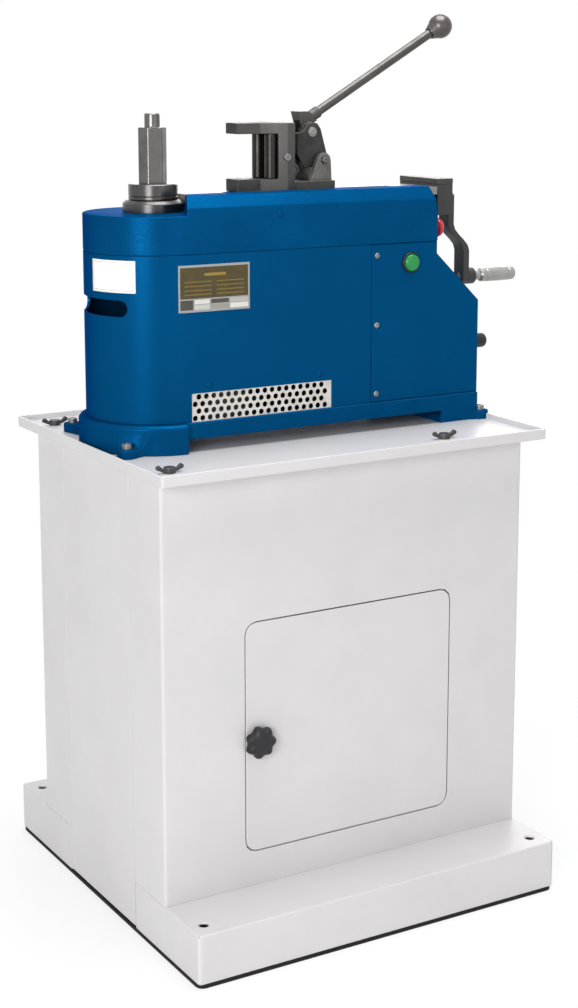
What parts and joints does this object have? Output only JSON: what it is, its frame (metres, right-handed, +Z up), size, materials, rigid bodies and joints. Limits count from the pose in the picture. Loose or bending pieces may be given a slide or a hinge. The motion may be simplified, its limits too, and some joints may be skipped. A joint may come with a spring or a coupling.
{
  "type": "tube bender",
  "caption": "Powered tube bender on a cabinet stand: hexagonal bending shaft, crank-fed carriage and toggle-lever die holder on a slideway.",
  "frame": {"origin": "middle of the underside of the rubber mat, on the floor", "axes": "+Z up; +X from the bending shaft towards the feed crank; -Y is the front with the door and the push button"},
  "size_m": [0.82, 0.664, 1.4038],
  "materials": {
    "light_paint": "light grey powder coat with a fine texture",
    "blue_paint": "deep blue satin enamel on castings and sheet",
    "black_rubber": "dull black rubber",
    "black_plastic": "black moulded plastic",
    "black_paint": "black enamel on a rough casting",
    "cast_grey": "oiled dark grey cast iron with a sandy surface",
    "bright_steel": "turned and ground bright steel",
    "zinc_steel": "zinc plated steel",
    "bronze": "bearing bronze",
    "green_plastic": "green button cap",
    "red_plastic": "red mushroom head",
    "plate_silver": "bare satin aluminium plate"
  },
  "bodies": {
    "frame": {"rubber_mat": "black_rubber", "plinth": "light_paint", "column_front_shell": "light_paint", "column_back_shell": "light_paint", "side_panel_left": "light_paint", "side_panel_right": "light_paint", "door_hinge_pin": "zinc_steel", "tray": "light_paint", "wing_nut_1": "zinc_steel", "wing_nut_2": "zinc_steel", "wing_nut_3": "zinc_steel", "wing_nut_4": "zinc_steel", "base_casting": "blue_paint", "base_bolt_1": "zinc_steel", "base_bolt_2": "zinc_steel", "base_bolt_3": "zinc_steel", "base_bolt_4": "zinc_steel", "body_casing": "blue_paint", "end_housing": "blue_paint", "front_cover": "blue_paint", "rear_cover": "blue_paint", "ventilation_grille": "zinc_steel", "top_housing": "blue_paint", "slideway": "bright_steel", "rating_plate": "plate_silver", "upper_bearing": "bright_steel", "lower_bearing": "zinc_steel", "drive_motor": "cast_grey", "button_bezel": "black_plastic", "stop_collar": "zinc_steel", "cable_gland": "black_plastic", "end_block": "black_paint", "end_plate": "bright_steel"},
    "door": {"door": "light_paint"},
    "latch": {"star_knob": "black_plastic", "latch_cam": "zinc_steel"},
    "bending_shaft": {"main_shaft": "bright_steel", "shaft_collar": "bright_steel", "main_gear": "cast_grey"},
    "pinion": {"drive_pinion": "zinc_steel"},
    "start_button": {"green_button": "green_plastic"},
    "emergency_stop": {"stop_button": "red_plastic"},
    "crank": {"feed_screw": "bright_steel", "crank_arm": "black_paint", "grip_spindle": "zinc_steel"},
    "grip": {"crank_grip": "zinc_steel"},
    "carriage": {"carriage": "cast_grey", "screw_nut": "bronze", "lever_pin": "zinc_steel"},
    "holder": {"die_holder": "cast_grey", "roller_pin_1": "zinc_steel", "roller_pin_2": "zinc_steel", "link_pin": "zinc_steel"},
    "roller_near": {"guide_roller_1": "cast_grey"},
    "roller_far": {"guide_roller_2": "cast_grey"},
    "link": {"toggle_link": "cast_grey"},
    "lever": {"toggle_lever": "cast_grey", "lever_rod": "bright_steel", "lever_knob": "black_plastic"}
  },
  "joints": [
    {"name": "door_hinge", "type": "hinge", "parent": "frame", "child": "door", "pos_m": [0.169, -0.2174, 0.32], "axis": [0, 0, 1], "range_deg": [0, 95]},
    {"name": "latch_turn", "type": "hinge", "parent": "door", "child": "latch", "pos_m": [-0.166, -0.21, 0.315], "axis": [0, 1, 0], "range_deg": [0, 90]},
    {"name": "shaft_turn", "type": "hinge", "parent": "frame", "child": "bending_shaft", "pos_m": [-0.2135, 0.01, 1.1], "axis": [0, 0, 1], "continuous": true},
    {"name": "pinion_turn", "type": "hinge", "parent": "frame", "child": "pinion", "pos_m": [-0.106, 0.01, 1], "axis": [0, 0, 1], "continuous": true},
    {"name": "start_press", "type": "slide", "parent": "frame", "child": "start_button", "axis": [0, 1, 0], "range_m": [0, 0.004], "stiffness_N_per_m": 400},
    {"name": "stop_press", "type": "slide", "parent": "frame", "child": "emergency_stop", "axis": [-1, 0, 0], "range_m": [0, 0.004], "stiffness_N_per_m": 600},
    {"name": "crank_turn", "type": "hinge", "parent": "frame", "child": "crank", "pos_m": [0.33, 0.01, 1.1], "axis": [-1, 0, 0], "range_deg": [-2520, 8640]},
    {"name": "grip_turn", "type": "hinge", "parent": "crank", "child": "grip", "pos_m": [0.44, 0.01, 0.967], "axis": [1, 0, 0], "continuous": true},
    {"name": "carriage_feed", "type": "slide", "parent": "frame", "child": "carriage", "axis": [1, 0, 0], "range_m": [-0.0351, 0.1201]},
    {"name": "lever_swing", "type": "hinge", "parent": "carriage", "child": "lever", "pos_m": [0.076, 0.01, 1.172], "axis": [0, -1, 0], "range_deg": [0, 40]},
    {"name": "holder_slide", "type": "slide", "parent": "carriage", "child": "holder", "axis": [-1, 0, 0], "range_m": [0, 0.0473]},
    {"name": "link_turn", "type": "hinge", "parent": "holder", "child": "link", "pos_m": [0.025, 0.01, 1.158], "axis": [0, -1, 0], "range_deg": [-24.2, 0]},
    {"name": "roller_near_turn", "type": "hinge", "parent": "holder", "child": "roller_near", "pos_m": [-0.017, -0.01, 1.18], "axis": [0, 0, 1], "continuous": true},
    {"name": "roller_far_turn", "type": "hinge", "parent": "holder", "child": "roller_far", "pos_m": [-0.017, 0.03, 1.18], "axis": [0, 0, 1], "continuous": true}
  ],
  "couplings": [
    {"joint": "pinion_turn", "follows": "shaft_turn", "ratio": -2.9091},
    {"joint": "carriage_feed", "follows": "crank_turn", "m_per_rad": 0.00079577},
    {"joint": "holder_slide", "follows": "lever_swing", "m_per_rad": 0.0676},
    {"joint": "link_turn", "follows": "lever_swing", "ratio": -0.6}
  ]
}
